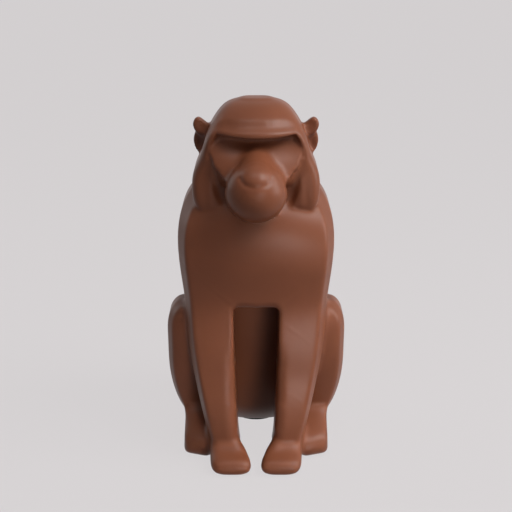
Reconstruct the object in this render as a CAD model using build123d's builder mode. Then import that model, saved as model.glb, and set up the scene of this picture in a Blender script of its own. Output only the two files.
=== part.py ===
from build123d import *
import os
from math import copysign, cos, pi, sin

# Seated baboon figurine, assembled from castings that are pinned together, with felt pads under the soles.
# +Z is up, the face looks along -Y, and the origin is on the floor at the middle of the footprint.
# The animal's own left is at +X. Each casting is lofted inside a block of space: its rows hold shares of that
# block, so that a casting follows its block when a size changes.

# Trunk: belly, rump and back
trunk_height = 197.0
trunk_width = 94.0
trunk_depth = 95.0
trunk_front = -20.0

# Forequarters: chest and both arms, one slab before it is parted into chest and arms
chest_width = 100.8
chest_depth = 86.0
chest_front = -56.5
arch_height = 107.0
arch_width = 29.6
arch_corner = 1.5
arch_edge_radius = 1.6
shoulder_seam_rise = 34.0
arm_edge_steepness = 2.4

# Hands
hand_height = 21.0
hand_width = 27.5
hand_depth = 42.0
hand_front = -74.5

# Hind legs: shank, thigh and foot of one casting
leg_height = 106.0
leg_width = 41.3
leg_depth = 108.0
leg_front = -34.5
leg_overlap = 29.0
leg_edge_steepness = 2.2
foot_height = 30.0
foot_width = 26.0
foot_depth = 62.0
foot_front = -53.0
foot_offset = 4.5

# Head: hood with cheek lobes, set down over the neck
hood_height = 71.0
hood_width = 81.0
hood_depth = 84.0
hood_front = -60.0
hood_overlap = 28.6
opening_width = 57.6
opening_height = 51.0
opening_depth = 18.0
opening_edge_radius = 1.2
brow_width = 48.0
brow_sag = 2.0
brow_corner = 4.0

# Face: mask, nose bridge and muzzle
mask_height = 50.0
mask_brow_thickness = 4.0
mask_chin_thickness = 13.0
muzzle_radius = 19.1
muzzle_rise = 17.3
muzzle_reach = 20.0
nose_radius = 14.0
nose_reach = 4.1
nose_rise = 4.9
bridge_root_radius = 11.0
bridge_length = 27.0
bridge_slope = 29.0

# Ears
ear_height = 25.0
ear_width = 16.4
ear_thickness = 7.0
ear_hollow = 4.0
ear_drop = 14.0
ear_setback = 40.0
ear_edge_radius = 1.0

# Tail
tail_width = 12.0
tail_depth = 24.0
tail_height = 46.0
tail_relief = 5.0

# Pins, pads and the room round them
glue_gap = 0.1
neck_pin_radius = 5.0
neck_pin_length = 30.0
limb_pin_radius = 3.0
limb_pin_length = 16.0
small_pin_radius = 1.5
small_pin_length = 9.0
pad_radius = 8.0
rump_pad_radius = 15.0
pad_thickness = 1.6
pad_recess = 1.0

sole_height = pad_thickness - pad_recess
overrun = 200.0


def ring(x_span, y_span, squareness, count=16):
    """Points round a closed outline: squareness 2 is an ellipse, and more is boxier."""
    x_middle, y_middle = sum(x_span) / 2, sum(y_span) / 2
    x_reach, y_reach = x_span[1] - x_middle, y_span[1] - y_middle
    points = []
    for step in range(count):
        across, along = cos(2 * pi * step / count), sin(2 * pi * step / count)
        points.append((
            x_middle + x_reach * copysign(abs(across) ** (2 / squareness), across),
            y_middle + y_reach * copysign(abs(along) ** (2 / squareness), along),
        ))
    return points


def level_rings(rows, corner, size):
    """One level ring per row: height, left, right, front and back as shares of the block, and squareness."""
    outlines = []
    for up, left, right, front, back, squareness in rows:
        x_span = (corner[0] + left * size[0], corner[0] + right * size[0])
        y_span = (corner[1] + front * size[1], corner[1] + back * size[1])
        with BuildSketch(Plane.XY.offset(corner[2] + up * size[2])) as outline:
            with BuildLine():
                Spline(*ring(x_span, y_span, squareness), periodic=True)
            make_face()
        outlines.append(outline.sketch)
    return outlines


def upright_rings(rows, corner, size):
    """One upright ring across the body per row: depth, left, right, low and high as shares of the block, and
    squareness."""
    outlines = []
    for back, left, right, low, high, squareness in rows:
        x_span = (corner[0] + left * size[0], corner[0] + right * size[0])
        z_span = (corner[2] + low * size[2], corner[2] + high * size[2])
        section_plane = Plane(
            origin=(0, corner[1] + back * size[1], 0), x_dir=(1, 0, 0), z_dir=(0, -1, 0)
        )
        with BuildSketch(section_plane) as outline:
            with BuildLine():
                Spline(*ring(x_span, z_span, squareness), periodic=True)
            make_face()
        outlines.append(outline.sketch)
    return outlines


def level_slabs(rows, corner, size, steepness=0):
    """One level slab with a bowed front per row: height, left, right, front, back and bow as shares of the
    block, then the front and back edges as shares of its width. Back edges are rounded. Front edges are
    rounded too, or, where a steepness is given, slanted back by that many times their width."""
    outlines = []
    for up, left, right, front, back, bow, front_edge, back_edge in rows:
        x_low, x_high = corner[0] + left * size[0], corner[0] + right * size[0]
        y_low, y_high = corner[1] + front * size[1], corner[1] + back * size[1]
        y_side = y_low + bow * size[1]
        edge = front_edge * size[0]
        inset = edge if steepness else 0
        sides = [(x_high, y_side), (x_high, y_high), (x_low, y_high), (x_low, y_side)]
        if steepness:
            y_slant = y_side + steepness * inset
            sides = [(x_high - inset, y_side), (x_high, y_slant), *sides[1:3], (x_low, y_slant),
                     (x_low + inset, y_side)]
        with BuildSketch(Plane.XY.offset(corner[2] + up * size[2])) as outline:
            with BuildLine():
                ThreePointArc(sides[-1], ((x_low + x_high) / 2, y_low), sides[0])
                Polyline(*sides)
            make_face()
            fillet(outline.vertices().group_by(Axis.Y)[-1], radius=back_edge * size[0])
            if steepness:
                fillet(outline.vertices().group_by(Axis.Y)[1], radius=edge)
                fillet(outline.vertices().group_by(Axis.Y)[0], radius=edge / 2)
            else:
                fillet(outline.vertices().group_by(Axis.Y)[0], radius=edge)
        outlines.append(outline.sketch)
    return outlines


trunk_ring_shares = [
    (0.000, 0.280, 0.720, 0.320, 0.780, 2.6),
    (0.045, 0.150, 0.850, 0.240, 0.900, 2.6),
    (0.150, 0.060, 0.940, 0.170, 0.985, 2.6),
    (0.300, 0.015, 0.985, 0.120, 1.000, 2.6),
    (0.450, 0.000, 1.000, 0.060, 0.940, 2.6),
    (0.580, 0.000, 1.000, 0.000, 0.840, 2.6),
    (0.720, 0.010, 0.990, -0.040, 0.700, 2.6),
    (0.850, 0.060, 0.940, -0.040, 0.560, 2.6),
    (1.000, 0.190, 0.810, 0.000, 0.430, 2.5),
]
chest_slab_shares = [
    (0.055, 0.196, 0.804, -0.030, 0.260, 0.030, 0.035, 0.045),
    (0.125, 0.171, 0.829, -0.035, 0.265, 0.030, 0.036, 0.045),
    (0.230, 0.126, 0.874, -0.015, 0.290, 0.030, 0.040, 0.045),
    (0.335, 0.083, 0.917, 0.010, 0.320, 0.035, 0.044, 0.045),
    (0.440, 0.055, 0.945, 0.035, 0.370, 0.040, 0.045, 0.045),
    (0.545, 0.040, 0.960, 0.045, 0.450, 0.050, 0.045, 0.050),
    (0.640, 0.017, 0.983, 0.020, 0.580, 0.060, 0.050, 0.060),
    (0.740, 0.000, 1.000, 0.000, 0.710, 0.080, 0.054, 0.070),
    (0.830, 0.013, 0.987, 0.035, 0.790, 0.100, 0.060, 0.090),
    (0.900, 0.072, 0.928, 0.120, 0.810, 0.120, 0.070, 0.110),
    (1.000, 0.222, 0.778, 0.260, 0.790, 0.140, 0.080, 0.120),
]
arch_side_shares = [
    (0.000, 0.550), (0.140, 0.730), (0.266, 0.815), (0.467, 0.885),
    (0.654, 0.946), (0.848, 0.980), (1.000, 1.000),
]
hand_ring_shares = [
    (0.000, 0.135, 0.800, 0.060, 0.300, 2.4),
    (0.050, 0.020, 0.890, 0.010, 0.430, 2.8),
    (0.150, 0.000, 0.955, 0.000, 0.530, 3.2),
    (0.280, 0.050, 0.975, 0.000, 0.640, 3.2),
    (0.430, 0.150, 0.985, 0.000, 0.860, 3.2),
    (0.600, 0.305, 0.985, 0.000, 1.000, 3.2),
    (0.800, 0.375, 0.980, 0.000, 0.950, 3.2),
    (0.940, 0.400, 0.960, 0.020, 0.800, 3.0),
    (1.000, 0.460, 0.850, 0.120, 0.550, 2.6),
]
shank_slab_shares = [
    (0.100, 0.250, 0.740, 0.190, 0.400, 0.010, 0.070, 0.090),
    (0.210, 0.220, 0.790, 0.150, 0.410, 0.012, 0.075, 0.090),
    (0.340, 0.180, 0.912, 0.105, 0.430, 0.015, 0.080, 0.100),
    (0.480, 0.170, 0.978, 0.060, 0.450, 0.020, 0.085, 0.110),
    (0.640, 0.180, 0.997, 0.020, 0.470, 0.025, 0.090, 0.120),
    (0.800, 0.220, 1.000, 0.000, 0.440, 0.030, 0.090, 0.130),
    (0.910, 0.280, 0.970, 0.005, 0.350, 0.030, 0.085, 0.130),
    (0.970, 0.360, 0.890, 0.030, 0.300, 0.030, 0.080, 0.120),
    (1.000, 0.480, 0.780, 0.080, 0.250, 0.025, 0.070, 0.100),
]
thigh_ring_shares = [
    (0.060, 0.300, 0.880, 0.640, 0.940, 2.5),
    (0.200, 0.240, 0.970, 0.420, 0.940, 2.6),
    (0.380, 0.150, 0.970, 0.170, 0.895, 2.6),
    (0.560, 0.080, 0.955, 0.030, 0.855, 2.6),
    (0.730, 0.030, 0.910, 0.010, 0.780, 2.6),
    (0.880, 0.010, 0.770, 0.060, 0.600, 2.4),
    (0.985, 0.000, 0.500, 0.190, 0.420, 2.2),
]
foot_slab_shares = [
    (0.000, 0.090, 0.940, 0.040, 0.930, 0.100, 0.180, 0.200),
    (0.065, 0.000, 1.000, 0.000, 0.980, 0.110, 0.200, 0.220),
    (0.250, 0.000, 1.000, 0.030, 1.000, 0.100, 0.200, 0.220),
    (0.380, 0.030, 0.995, 0.100, 1.000, 0.080, 0.180, 0.220),
    (0.550, 0.090, 0.995, 0.240, 0.980, 0.060, 0.170, 0.200),
    (0.720, 0.140, 1.005, 0.390, 0.940, 0.040, 0.160, 0.180),
    (1.000, 0.190, 1.030, 0.520, 0.860, 0.030, 0.150, 0.160),
]
hood_slab_shares = [
    (0.000, 0.080, 0.920, 0.180, 0.880, 0.020, 0.050, 0.380),
    (0.040, 0.040, 0.960, 0.155, 0.920, 0.020, 0.060, 0.400),
    (0.150, 0.006, 0.994, 0.135, 0.960, 0.025, 0.070, 0.420),
    (0.270, 0.002, 0.998, 0.125, 0.980, 0.035, 0.080, 0.420),
    (0.385, 0.020, 0.980, 0.105, 0.970, 0.060, 0.090, 0.400),
    (0.500, 0.064, 0.936, 0.065, 0.945, 0.085, 0.100, 0.370),
    (0.620, 0.098, 0.902, 0.020, 0.905, 0.110, 0.120, 0.340),
    (0.720, 0.128, 0.872, 0.015, 0.865, 0.125, 0.140, 0.310),
    (0.820, 0.175, 0.825, 0.065, 0.800, 0.120, 0.150, 0.270),
    (0.905, 0.230, 0.770, 0.150, 0.705, 0.100, 0.140, 0.210),
    (0.970, 0.315, 0.685, 0.260, 0.585, 0.070, 0.090, 0.130),
    (1.000, 0.385, 0.615, 0.330, 0.510, 0.030, 0.040, 0.060),
]
mask_edge_shares = [
    (0.500, 0.815), (0.496, 0.715), (0.462, 0.620), (0.390, 0.515), (0.328, 0.420), (0.275, 0.260),
    (0.245, 0.000),
]
helix_shares = [
    (0.000, 0.800), (0.250, 0.790), (0.434, 0.840), (0.640, 0.945), (0.810, 0.995), (0.945, 0.930),
    (1.000, 0.820), (0.965, 0.710), (0.844, 0.580), (0.648, 0.450), (0.400, 0.340), (0.000, 0.300),
]
ear_lobe_share = 0.38
ear_lobe_rise_share = 0.37
tail_ring_shares = [
    (0.000, 0.250, 0.750, 0.150, 0.460, 2.0),
    (0.070, 0.130, 0.870, 0.080, 0.600, 2.2),
    (0.350, 0.060, 0.940, 0.360, 0.900, 2.2),
    (0.650, 0.000, 1.000, 0.460, 1.000, 2.2),
    (0.880, 0.060, 0.940, 0.440, 0.950, 2.1),
    (1.000, 0.300, 0.700, 0.500, 0.740, 2.0),
]
# The hip pin's place: across the trunk, and along and up the leg
hip_across_share = 0.47
hip_along_share = 0.73
hip_up_share = 0.40

trunk_corner = (-trunk_width / 2, trunk_front, sole_height)
trunk_size = (trunk_width, trunk_depth, trunk_height)
chest_corner = (-chest_width / 2, chest_front, sole_height)
chest_size = (chest_width, chest_depth, trunk_height)
wrist_outside = chest_corner[0] + chest_slab_shares[0][2] * chest_width
hand_corner = (wrist_outside - hand_width, hand_front, sole_height)
hand_size = (hand_width, hand_depth, hand_height)
leg_corner = (trunk_width / 2 - leg_overlap, leg_front, sole_height)
leg_size = (leg_width, leg_depth, leg_height - sole_height)
foot_corner = (leg_corner[0] + foot_offset, foot_front, sole_height)
foot_size = (foot_width, foot_depth, foot_height)
neck_level = sole_height + trunk_height
hood_corner = (-hood_width / 2, hood_front, neck_level - hood_overlap)
hood_size = (hood_width, hood_depth, hood_height)
ear_corner = (hood_width / 2 - ear_width, hood_corner[2] + hood_height - ear_drop - ear_height)
ear_front = hood_front + ear_setback
tail_corner = (-tail_width / 2, trunk_front + trunk_depth + tail_relief - tail_depth, sole_height)
tail_size = (tail_width, tail_depth, tail_height)

# The gap between the arms: an arch seen from the front, narrower at the wrists
with BuildSketch(Plane.XZ) as arch_outline:
    with BuildLine():
        side_points = [(across * arch_width / 2, up * arch_height) for up, across in arch_side_shares]
        side = Spline(*side_points)
        other_side = mirror(side, about=Plane.YZ)
        Line(side @ 1, other_side @ 1)
        Line(side @ 0, other_side @ 0)
    make_face()
    fillet(arch_outline.vertices().group_by(Axis.Y)[-1], radius=arch_corner)

# The shoulder seams rise outwards from the corners of the arch
seam_run = (chest_width - arch_width) / 2
shoulder_seam_left = Plane(
    origin=(arch_width / 2, 0, arch_height),
    x_dir=(seam_run, 0, shoulder_seam_rise),
    z_dir=(-shoulder_seam_rise, 0, seam_run),
)
shoulder_seam_right = Plane(
    origin=(-arch_width / 2, 0, arch_height),
    x_dir=(seam_run, 0, -shoulder_seam_rise),
    z_dir=(shoulder_seam_rise, 0, seam_run),
)

with BuildPart() as forequarters:
    loft(level_slabs(chest_slab_shares, chest_corner, chest_size, arm_edge_steepness))
    extrude(arch_outline.sketch, amount=overrun, both=True, mode=Mode.SUBTRACT)
    arch_rim = forequarters.edges(Select.NEW).filter_by(GeomType.LINE, reverse=True)
    fillet(arch_rim.filter_by_position(Axis.Z, hand_height, arch_height), radius=arch_edge_radius)

with BuildPart() as arm_blank:
    add(forequarters.part)
    split(bisect_by=shoulder_seam_left, keep=Keep.BOTTOM)
    split(bisect_by=Plane.YZ, keep=Keep.TOP)
    loft(upright_rings(hand_ring_shares, hand_corner, hand_size))

with BuildPart() as other_arm_blank:
    mirror(arm_blank.part, about=Plane.YZ)

with BuildPart() as chest:
    add(forequarters.part)
    split(bisect_by=shoulder_seam_left, keep=Keep.TOP)
    split(bisect_by=shoulder_seam_right, keep=Keep.TOP)

with BuildPart() as tail_blank:
    loft(level_rings(tail_ring_shares, tail_corner, tail_size))

with BuildPart() as trunk_blank:
    loft(level_rings(trunk_ring_shares, trunk_corner, trunk_size))
    add(arm_blank.part, mode=Mode.SUBTRACT)
    add(other_arm_blank.part, mode=Mode.SUBTRACT)
    add(chest.part)
    add(tail_blank.part, mode=Mode.SUBTRACT)

with BuildPart() as leg_blank:
    loft(level_slabs(shank_slab_shares, leg_corner, leg_size, leg_edge_steepness))
    loft(upright_rings(thigh_ring_shares, leg_corner, leg_size))
    loft(level_slabs(foot_slab_shares, foot_corner, foot_size))

with BuildPart() as other_leg_blank:
    mirror(leg_blank.part, about=Plane.YZ)

brow_level = hood_corner[2] + opening_height
opening_back = hood_front + opening_depth
opening_plane = Plane.XZ.offset(-opening_back)


def brow_line():
    """The sagging brow, seen from the front, from the animal's right to its left."""
    return ThreePointArc(
        (-brow_width / 2, brow_level), (0, brow_level - brow_sag), (brow_width / 2, brow_level)
    )


# The hood's opening, seen from the front: the brow above, the gap between the cheek lobes below
with BuildSketch(opening_plane) as opening_outline:
    with BuildLine():
        brow = brow_line()
        side = Spline(
            brow @ 1,
            (opening_width / 2, brow_level - (opening_width - brow_width)),
            (opening_width / 2, brow_level - opening_height / 2),
            (opening_width / 2, brow_level - 2 * opening_height),
        )
        other_side = mirror(side, about=Plane.YZ)
        Line(side @ 1, other_side @ 1)
    make_face()
    fillet(opening_outline.vertices().group_by(Axis.Y)[-1], radius=brow_corner)

with BuildPart() as hood_blank:
    loft(level_slabs(hood_slab_shares, hood_corner, hood_size))
    extrude(opening_outline.sketch, amount=overrun, mode=Mode.SUBTRACT)
    opening_rim = hood_blank.edges(Select.NEW).filter_by(GeomType.BSPLINE)
    opening_rim = opening_rim.filter_by_position(Axis.Z, hood_corner[2], neck_level + hood_height)
    fillet(opening_rim, radius=opening_edge_radius)
    add(trunk_blank.part, mode=Mode.SUBTRACT)

# Face: a shield that narrows downwards, thicker towards the chin, with the muzzle and the bridge on it
mask_base = brow_level - mask_height
mask_brow_front = opening_back - mask_brow_thickness
mask_chin_front = opening_back - mask_chin_thickness
muzzle_middle = (0, hood_front - muzzle_reach + muzzle_radius, hood_corner[2] + muzzle_rise)
bridge_taper = (nose_radius - bridge_root_radius) / bridge_length
bridge_narrowing = (1 - bridge_taper ** 2) ** 0.5
bridge_plane = Plane(
    origin=(0, muzzle_middle[1] - nose_reach, muzzle_middle[2] + nose_rise),
    x_dir=(1, 0, 0),
    z_dir=(0, cos(bridge_slope * pi / 180), sin(bridge_slope * pi / 180)),
)

# The nose is a ball, and the bridge a cone that runs from it to a smaller ball under the brow
with BuildPart(bridge_plane) as bridge:
    Sphere(nose_radius)
    with Locations((0, 0, nose_radius * bridge_taper)):
        Cone(
            bottom_radius=nose_radius * bridge_narrowing,
            top_radius=bridge_root_radius * bridge_narrowing,
            height=bridge_length * bridge_narrowing ** 2,
            align=(Align.CENTER, Align.CENTER, Align.MIN),
        )
    with Locations((0, 0, bridge_length)):
        Sphere(bridge_root_radius)

with BuildPart() as mask_blank:
    with BuildSketch(opening_plane):
        with BuildLine():
            brow = brow_line()
            edge_points = [
                (across * opening_width, mask_base + up * mask_height) for across, up in mask_edge_shares
            ]
            side = Spline(brow @ 1, *edge_points)
            other_side = mirror(side, about=Plane.YZ)
            Line(side @ 1, other_side @ 1)
        make_face()
    extrude(amount=overrun)
    with BuildSketch(Plane.YZ):
        with BuildLine():
            Spline(
                (mask_brow_front, brow_level),
                ((3 * mask_brow_front + mask_chin_front) / 4, brow_level - mask_height / 2),
                (mask_chin_front, mask_base),
            )
            Polyline(
                (mask_chin_front, mask_base), (opening_back, mask_base), (opening_back, brow_level),
                (mask_brow_front, brow_level),
            )
        make_face()
    extrude(amount=overrun, both=True, mode=Mode.INTERSECT)
    with Locations(muzzle_middle):
        Sphere(muzzle_radius)
    add(bridge.part)
    add(hood_blank.part, mode=Mode.SUBTRACT)
    add(trunk_blank.part, mode=Mode.SUBTRACT)

# Ears: the folded helix in front, the lower lobe set back behind it
with BuildPart() as ear_blank:
    with BuildSketch(Plane.XZ.offset(-ear_front)):
        with BuildLine():
            helix_points = [
                (ear_corner[0] + across * ear_width, ear_corner[1] + up * ear_height)
                for across, up in helix_shares
            ]
            Spline(*helix_points)
            Line(helix_points[-1], helix_points[0])
        make_face()
    extrude(amount=-ear_thickness)
    with BuildSketch(Plane.XZ.offset(-ear_front - ear_hollow)):
        lobe_reach = ear_width * ear_lobe_share
        lobe_level = ear_corner[1] + ear_height * ear_lobe_share
        with Locations((ear_corner[0] + ear_width - lobe_reach, lobe_level)):
            Ellipse(lobe_reach, ear_height * ear_lobe_rise_share)
    extrude(amount=ear_hollow - ear_thickness)
    ear_rims = ear_blank.faces().filter_by(Axis.Y).edges()
    fillet(ear_rims.filter_by(GeomType.LINE, reverse=True), radius=ear_edge_radius)
    add(hood_blank.part, mode=Mode.SUBTRACT)


def pin(plane, across, along, radius, length):
    """A round pin, half of it on each side of the plane."""
    with BuildPart() as piece:
        with BuildSketch(plane):
            with Locations((across, along)):
                Circle(radius)
        extrude(amount=length / 2, both=True)
    return piece.part


def pin_and_bore(plane, across, along, radius, length):
    """A pin and the hole that it is glued into, which is wider and longer by the glue gap."""
    return (
        pin(plane, across, along, radius, length),
        pin(plane, across, along, radius + glue_gap, length + 2 * glue_gap),
    )


def felt_pad(across, along, radius):
    """A felt disc on the floor and the recess in the sole above it."""
    with BuildPart() as disc:
        with BuildSketch(Plane.XY):
            with Locations((across, along)):
                Circle(radius)
        extrude(amount=pad_thickness)
    with BuildPart() as recess:
        with BuildSketch(Plane.XY):
            with Locations((across, along)):
                Circle(radius + glue_gap)
        extrude(amount=pad_thickness)
    return disc.part, recess.part


def both_sides(left_piece):
    """The left piece and its mirror image, as one group of two solids."""
    with BuildPart() as pair:
        add(left_piece)
        mirror(left_piece, about=Plane.YZ)
    return pair


def cut_by(blank, *others):
    """A casting with the seats, bores and recesses that the other solids leave in it."""
    with BuildPart() as piece:
        add(blank)
        for other in others:
            add(other, mode=Mode.SUBTRACT)
    return piece


neck_depth = trunk_front + trunk_depth * (trunk_ring_shares[-1][3] + trunk_ring_shares[-1][4]) / 2
neck_peg, neck_bore = pin_and_bore(
    Plane.XY.offset(neck_level), 0, neck_depth, neck_pin_radius, neck_pin_length
)
seam_length = (seam_run ** 2 + shoulder_seam_rise ** 2) ** 0.5
shoulder_peg, shoulder_bore = pin_and_bore(
    shoulder_seam_left, seam_length / 2, chest_front + chest_depth / 4, limb_pin_radius, limb_pin_length
)
hip_peg, hip_bore = pin_and_bore(
    Plane.YZ.offset(hip_across_share * trunk_width),
    leg_corner[1] + hip_along_share * leg_depth,
    sole_height + hip_up_share * leg_height,
    limb_pin_radius,
    limb_pin_length,
)
face_peg, face_bore = pin_and_bore(
    opening_plane, 0, brow_level - opening_height / 4, limb_pin_radius, limb_pin_length
)
ear_peg, ear_bore = pin_and_bore(
    Plane.YZ.offset(ear_corner[0] + ear_width / 2),
    ear_front + ear_thickness / 2,
    ear_corner[1] + ear_height * 2 / 3,
    small_pin_radius,
    small_pin_length,
)
tail_peg, tail_bore = pin_and_bore(
    Plane.XZ.offset(-tail_corner[1] - tail_depth / 2), 0, sole_height + tail_height * 2 / 3,
    small_pin_radius, small_pin_length
)
hand_pad, hand_recess = felt_pad(hand_corner[0] + hand_width / 2, hand_front + hand_depth / 2, pad_radius)
foot_pad, foot_recess = felt_pad(foot_corner[0] + foot_width / 2, foot_front + foot_depth / 2, pad_radius)
sole_depth = trunk_front + trunk_depth * (trunk_ring_shares[0][3] + trunk_ring_shares[0][4]) / 2
rump_disc, rump_recess = felt_pad(0, sole_depth, rump_pad_radius)

shoulder_bores = both_sides(shoulder_bore)
hip_bores = both_sides(hip_bore)
ear_bores = both_sides(ear_bore)
foot_recesses = both_sides(foot_recess)

arm_left = cut_by(arm_blank.part, shoulder_bore, hand_recess)
hind_leg_left = cut_by(leg_blank.part, trunk_blank.part, arm_blank.part, hip_bore, foot_recess)
hind_leg_right = cut_by(
    other_leg_blank.part, trunk_blank.part, other_arm_blank.part, hip_bores.part, foot_recesses.part
)
ear_left = cut_by(ear_blank.part, ear_bore)
face_mask = cut_by(mask_blank.part, face_bore)
tail = cut_by(tail_blank.part, tail_bore)
head_hood = cut_by(hood_blank.part, neck_bore, face_bore, ear_bores.part)
trunk = cut_by(trunk_blank.part, neck_bore, tail_bore, rump_recess, shoulder_bores.part, hip_bores.part)

with BuildPart() as arm_right:
    mirror(arm_left.part, about=Plane.YZ)

with BuildPart() as ear_right:
    mirror(ear_left.part, about=Plane.YZ)

with BuildPart() as neck_pin:
    add(neck_peg)

with BuildPart() as face_pin:
    add(face_peg)

with BuildPart() as tail_pin:
    add(tail_peg)

with BuildPart() as rump_pad:
    add(rump_disc)

shoulder_pins = both_sides(shoulder_peg)
hip_pins = both_sides(hip_peg)
ear_pins = both_sides(ear_peg)
hand_pads = both_sides(hand_pad)
foot_pads = both_sides(foot_pad)

trunk.part.label = "trunk"
arm_left.part.label = "arm_left"
arm_right.part.label = "arm_right"
hind_leg_left.part.label = "hind_leg_left"
hind_leg_right.part.label = "hind_leg_right"
head_hood.part.label = "head_hood"
face_mask.part.label = "face_mask"
ear_left.part.label = "ear_left"
ear_right.part.label = "ear_right"
tail.part.label = "tail"
neck_pin.part.label = "neck_pin"
shoulder_pins.part.label = "shoulder_pins"
hip_pins.part.label = "hip_pins"
face_pin.part.label = "face_pin"
ear_pins.part.label = "ear_pins"
tail_pin.part.label = "tail_pin"
hand_pads.part.label = "hand_pads"
foot_pads.part.label = "foot_pads"
rump_pad.part.label = "rump_pad"

os.makedirs("parts", exist_ok=True)
for piece in (
    trunk, arm_left, arm_right, hind_leg_left, hind_leg_right, tail,
    head_hood, face_mask, ear_left, ear_right,
    neck_pin, shoulder_pins, hip_pins, face_pin, ear_pins, tail_pin,
    hand_pads, foot_pads, rump_pad,
):
    export_step(piece.part, f"parts/{piece.part.label}.step")
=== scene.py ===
# %% [markdown]
# # A seated baboon in brown resin
# The real thing is a shelf ornament: castings of polyurethane resin, glued together over dowels, with the
# joins filled and the whole painted one satin brown. Nothing on it moves. The CAD model that comes with this
# script holds every casting, dowel and felt pad at its true size. This lesson gives it the soft skin of a
# sculpted figure: fillets where the limbs run into the body, a hooded brow, ears and a muzzle.

# %% Load the frame
import math

import bpy
import numpy as np
import openvdb
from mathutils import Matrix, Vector


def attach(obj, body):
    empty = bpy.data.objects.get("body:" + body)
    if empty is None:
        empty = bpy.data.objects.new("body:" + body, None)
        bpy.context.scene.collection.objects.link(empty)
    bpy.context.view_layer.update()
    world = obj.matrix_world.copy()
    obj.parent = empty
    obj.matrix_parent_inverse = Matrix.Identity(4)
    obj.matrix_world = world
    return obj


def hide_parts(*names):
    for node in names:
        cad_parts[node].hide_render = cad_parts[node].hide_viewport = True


MM = 1000


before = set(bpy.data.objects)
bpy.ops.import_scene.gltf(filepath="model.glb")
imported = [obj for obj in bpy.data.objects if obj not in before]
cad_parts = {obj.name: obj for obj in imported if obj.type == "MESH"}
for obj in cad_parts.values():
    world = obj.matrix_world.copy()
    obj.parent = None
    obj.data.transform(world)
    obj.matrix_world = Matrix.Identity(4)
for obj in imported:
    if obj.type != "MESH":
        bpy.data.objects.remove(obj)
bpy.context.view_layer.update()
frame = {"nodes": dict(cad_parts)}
nodes = frame["nodes"]
print("CAD nodes:", ", ".join(sorted(nodes)))

# %% [markdown]
# ## The camera
# The picture looks down on the figure a little, straight from the front, through a long lens, so both sides
# are mirror images and the sole line bends only slightly. The camera comes first, because each later step is
# judged through it.

# %% Camera
AIM = Vector((0.0, 0.004, 0.1270))
DISTANCE = 0.777
ELEVATION = math.radians(16.0)
LENS, SENSOR = 80.0, 36.0

camera_data = bpy.data.cameras.new("camera")
camera_data.lens = LENS
camera_data.sensor_width = SENSOR
camera = bpy.data.objects.new("camera", camera_data)
bpy.context.scene.collection.objects.link(camera)
camera.location = AIM + DISTANCE * Vector((0.0, -math.cos(ELEVATION), math.sin(ELEVATION)))
camera.rotation_euler = (math.pi / 2 - ELEVATION, 0.0, 0.0)
bpy.context.scene.camera = camera
print("camera at", [round(value, 3) for value in camera.location])

# %% [markdown]
# ## Distance fields
# A sculptor would press clay into the corners between the castings and smooth it with a thumb. The same can
# be done with a distance field: a block of numbers, each of which says how far that point of space is from
# the surface, negative inside. Two fields are joined by taking the smaller number at each point, and a
# fillet is a matter of growing the field and shrinking it again. OpenVDB, which Blender brings along, makes
# such a field from a mesh and a mesh from a field. The figure is symmetric, so only its left half is worked
# on, in mm.

# %% The block of space
VOXEL = 0.8
BAND = 12
HALF_COUNT = 80
DEPTH_FROM, DEPTH_COUNT = -108, 216
RISE_FROM, RISE_COUNT = -6, 314
FAR = VOXEL * BAND
CORNER = (-HALF_COUNT, DEPTH_FROM, RISE_FROM)
TINY = 1e-6

lattice = openvdb.createLinearTransform(VOXEL)
lattice.postTranslate((VOXEL / 2, 0.0, 0.0))
x_axis = (np.arange(HALF_COUNT, dtype=np.float32) + 0.5) * VOXEL
y_axis = (np.arange(DEPTH_COUNT, dtype=np.float32) + DEPTH_FROM) * VOXEL
z_axis = (np.arange(RISE_COUNT, dtype=np.float32) + RISE_FROM) * VOXEL
X, Y, Z = x_axis[:, None, None], y_axis[None, :, None], z_axis[None, None, :]
print("half block:", HALF_COUNT, "x", DEPTH_COUNT, "x", RISE_COUNT, "voxels of", VOXEL, "mm")


# %% Fields from meshes and meshes from fields
def values_of(items, attribute, width=1, kind=np.float32):
    """An attribute of a mesh's points, corners or faces, as an array with a row for each."""
    values = np.empty(len(items) * width, kind)
    items.foreach_get(attribute, values)
    return values.reshape(-1, width) if width > 1 else values


def read_grid(grid):
    """The left half of a level set, as an array of distances in mm."""
    half = np.empty((HALF_COUNT, DEPTH_COUNT, RISE_COUNT), np.float32)
    grid.copyToArray(half, ijk=(0, DEPTH_FROM, RISE_FROM))
    return half


def node_field(name):
    """The distance field of one CAD node."""
    mesh = nodes[name].data
    points = values_of(mesh.vertices, "co", 3)
    corners = values_of(mesh.polygons, "vertices", 3, np.int32).astype(np.uint32)
    return read_grid(openvdb.FloatGrid.createLevelSetFromPolygons(
        points * MM, triangles=corners, transform=lattice, halfWidth=BAND
    ))


def whole(half):
    """Both sides from the left one."""
    return np.concatenate((half[::-1], half))


def grid_of(both):
    """An OpenVDB grid with the values of a field of both sides."""
    grid = openvdb.FloatGrid(FAR)
    grid.transform = lattice
    grid.copyFromArray(np.ascontiguousarray(both), ijk=CORNER)
    return grid


def quads_of(both, level=0.0):
    """The surface where a field of both sides has the given value: points in mm, and quads that face out."""
    return grid_of(both).convertToQuads(level)


def level_set(points, quads):
    """The level set of a closed surface."""
    return openvdb.FloatGrid.createLevelSetFromPolygons(
        points, quads=quads, transform=lattice, halfWidth=BAND
    )


print("a field reaches", FAR, "mm from the surface on both sides")


# %% Growing, shrinking and joining
def distance_again(half, level=0.0, alone=False):
    """A true distance field of the surface where the field has the given value. A piece that stands alone is
    looked at without its mirror image."""
    both = whole(half)
    if alone:
        lone = np.concatenate((np.full_like(half, FAR), half))
        level_set(*quads_of(lone)).copyToArray(both, ijk=CORNER)
    return read_grid(level_set(*quads_of(both, level)))


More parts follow.
